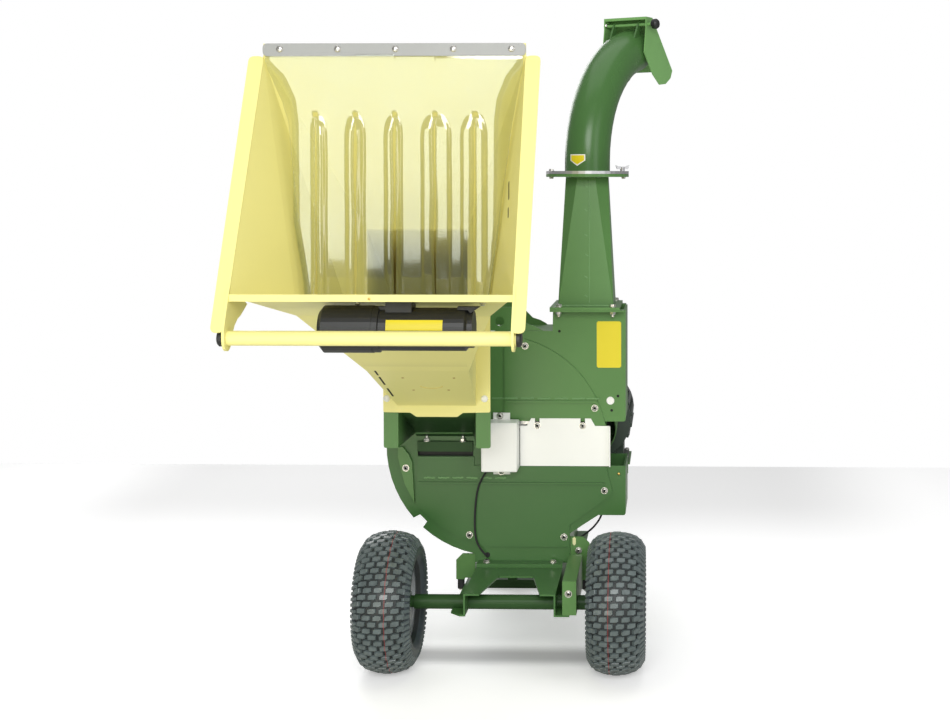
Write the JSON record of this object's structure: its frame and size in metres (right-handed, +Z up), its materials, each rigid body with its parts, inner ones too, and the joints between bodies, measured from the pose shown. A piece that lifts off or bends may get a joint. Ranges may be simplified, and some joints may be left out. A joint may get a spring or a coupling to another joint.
{
  "type": "wood chipper",
  "caption": "Two-wheeled electric garden chipper: a tall leaning feed hopper with a strip curtain, a disc rotor casing and a swivelling discharge chute.",
  "frame": {"origin": "middle of the footprint on the ground (bottom centre of the bounding box)", "axes": "+X to the right as seen from the hopper, +Y from the handle towards the rear stand, +Z up"},
  "size_m": [1.0418, 1.9489, 1.9707],
  "materials": {
    "green_enamel": "glossy green enamel",
    "cream_enamel": "glossy cream-yellow enamel",
    "white_enamel": "white enamel",
    "zinc_plate": "grey zinc plate",
    "bright_steel": "ground steel",
    "silver_casting": "silver cast and painted",
    "cast_iron": "black painted iron",
    "black_plastic": "black moulded plastic",
    "black_rubber": "matt black rubber",
    "clear_pvc": "clear flexible PVC, slightly yellow",
    "green_button": "green moulded plastic",
    "red_button": "red moulded plastic",
    "tyre_rubber": "black tyre rubber"
  },
  "bodies": {
    "access_cover": {"access_cover": "white_enamel"},
    "machine": {"anvil": "bright_steel", "axle": "green_enamel", "bearing_box": "white_enamel", "belt_front": "black_rubber", "belt_guard": "green_enamel", "belt_rear": "black_rubber", "chassis_deck": "green_enamel", "curtain": "clear_pvc", "curtain_clamp": "zinc_plate", "discharge_tower": "green_enamel", "front_bearing": "cast_iron", "front_lead": "black_plastic", "handle_bar": "cream_enamel", "handle_cap_left": "black_plastic", "handle_cap_right": "black_plastic", "hopper": "cream_enamel", "infeed_gusset": "green_enamel", "infeed_tunnel": "green_enamel", "lead_grommet": "black_rubber", "lifting_eye": "green_enamel", "lower_casing": "green_enamel", "lower_face_plate": "green_enamel", "manual_tube": "black_plastic", "manual_tube_saddle": "zinc_plate", "motor_fan_cowl": "black_plastic", "motor_housing": "silver_casting", "motor_stand": "green_enamel", "motor_terminal_box": "black_plastic", "rear_bearing": "cast_iron", "rear_lead": "black_plastic", "rear_stand": "green_enamel", "rubber_buffer_left": "black_rubber", "rubber_buffer_right": "black_rubber", "side_bracket_left": "green_enamel", "side_bracket_right": "green_enamel", "side_rail": "green_enamel", "switch_box": "cast_iron", "swivel_ring_lower": "green_enamel", "upper_casing": "green_enamel", "upper_face_plate": "green_enamel"},
    "chute": {"chute_bend": "green_enamel", "swivel_ring_upper": "white_enamel"},
    "deflector": {"deflector_flap": "green_enamel"},
    "deflector_knob": {"deflector_knob": "black_plastic"},
    "rotor": {"knife_a": "bright_steel", "knife_b": "bright_steel", "rotor_disc": "cast_iron", "rotor_pulley": "cast_iron", "rotor_shaft": "bright_steel"},
    "manual_cap": {"manual_tube_cap": "black_plastic"},
    "motor": {"motor_pulley": "cast_iron", "motor_shaft": "bright_steel"},
    "wheel_left": {"rim_left": "silver_casting", "tyre_left": "tyre_rubber"},
    "wheel_right": {"rim_right": "silver_casting", "tyre_right": "tyre_rubber"},
    "start_button": {"start_button": "green_button"},
    "stop_button": {"stop_button": "red_button"},
    "swivel_clamp": {"swivel_clamp": "zinc_plate"}
  },
  "joints": [
    {"name": "wheel_left_spin", "type": "hinge", "parent": "machine", "child": "wheel_left", "pos_m": [-0.30595, 0.03125, 0.203], "axis": [1, 0, 0], "continuous": true},
    {"name": "wheel_right_spin", "type": "hinge", "parent": "machine", "child": "wheel_right", "pos_m": [0.35805, 0.03125, 0.203], "axis": [1, 0, 0], "continuous": true},
    {"name": "rotor_spin", "type": "hinge", "parent": "machine", "child": "rotor", "pos_m": [-0.02295, 0.28925, 0.616], "axis": [0, 1, 0], "continuous": true},
    {"name": "motor_spin", "type": "hinge", "parent": "machine", "child": "motor", "pos_m": [0.25405, 0.53125, 0.635], "axis": [0, 1, 0], "continuous": true},
    {"name": "chute_swivel", "type": "hinge", "parent": "machine", "child": "chute", "pos_m": [0.25355, 0.37825, 1.4563], "axis": [0, 0, 1], "continuous": true},
    {"name": "deflector_tilt", "type": "hinge", "parent": "chute", "child": "deflector", "pos_m": [0.37119, 0.60914, 1.94669], "axis": [0.891, -0.454, 0], "range_deg": [-20, 50]},
    {"name": "deflector_knob_turn", "type": "hinge", "parent": "deflector", "child": "deflector_knob", "pos_m": [0.45254, 0.56769, 1.94669], "axis": [0.891, -0.454, 0], "range_deg": [0, 150]},
    {"name": "swivel_clamp_turn", "type": "hinge", "parent": "chute", "child": "swivel_clamp", "pos_m": [0.36355, 0.37825, 1.4659], "axis": [0, 0, 1], "range_deg": [0, 180]},
    {"name": "manual_cap_pull", "type": "slide", "parent": "machine", "child": "manual_cap", "axis": [-1, 0, 0], "range_m": [0, 0.12]},
    {"name": "access_cover_drop", "type": "slide", "parent": "machine", "child": "access_cover", "axis": [0, 0, -1], "range_m": [0, 0.04]},
    {"name": "start_button_push", "type": "slide", "parent": "machine", "child": "start_button", "axis": [0, -1, 0], "range_m": [0, 0.004], "stiffness_N_per_m": 600},
    {"name": "stop_button_push", "type": "slide", "parent": "machine", "child": "stop_button", "axis": [0, -1, 0], "range_m": [0, 0.004], "stiffness_N_per_m": 600}
  ],
  "couplings": [
    {"joint": "motor_spin", "follows": "rotor_spin", "ratio": 1.2655}
  ]
}
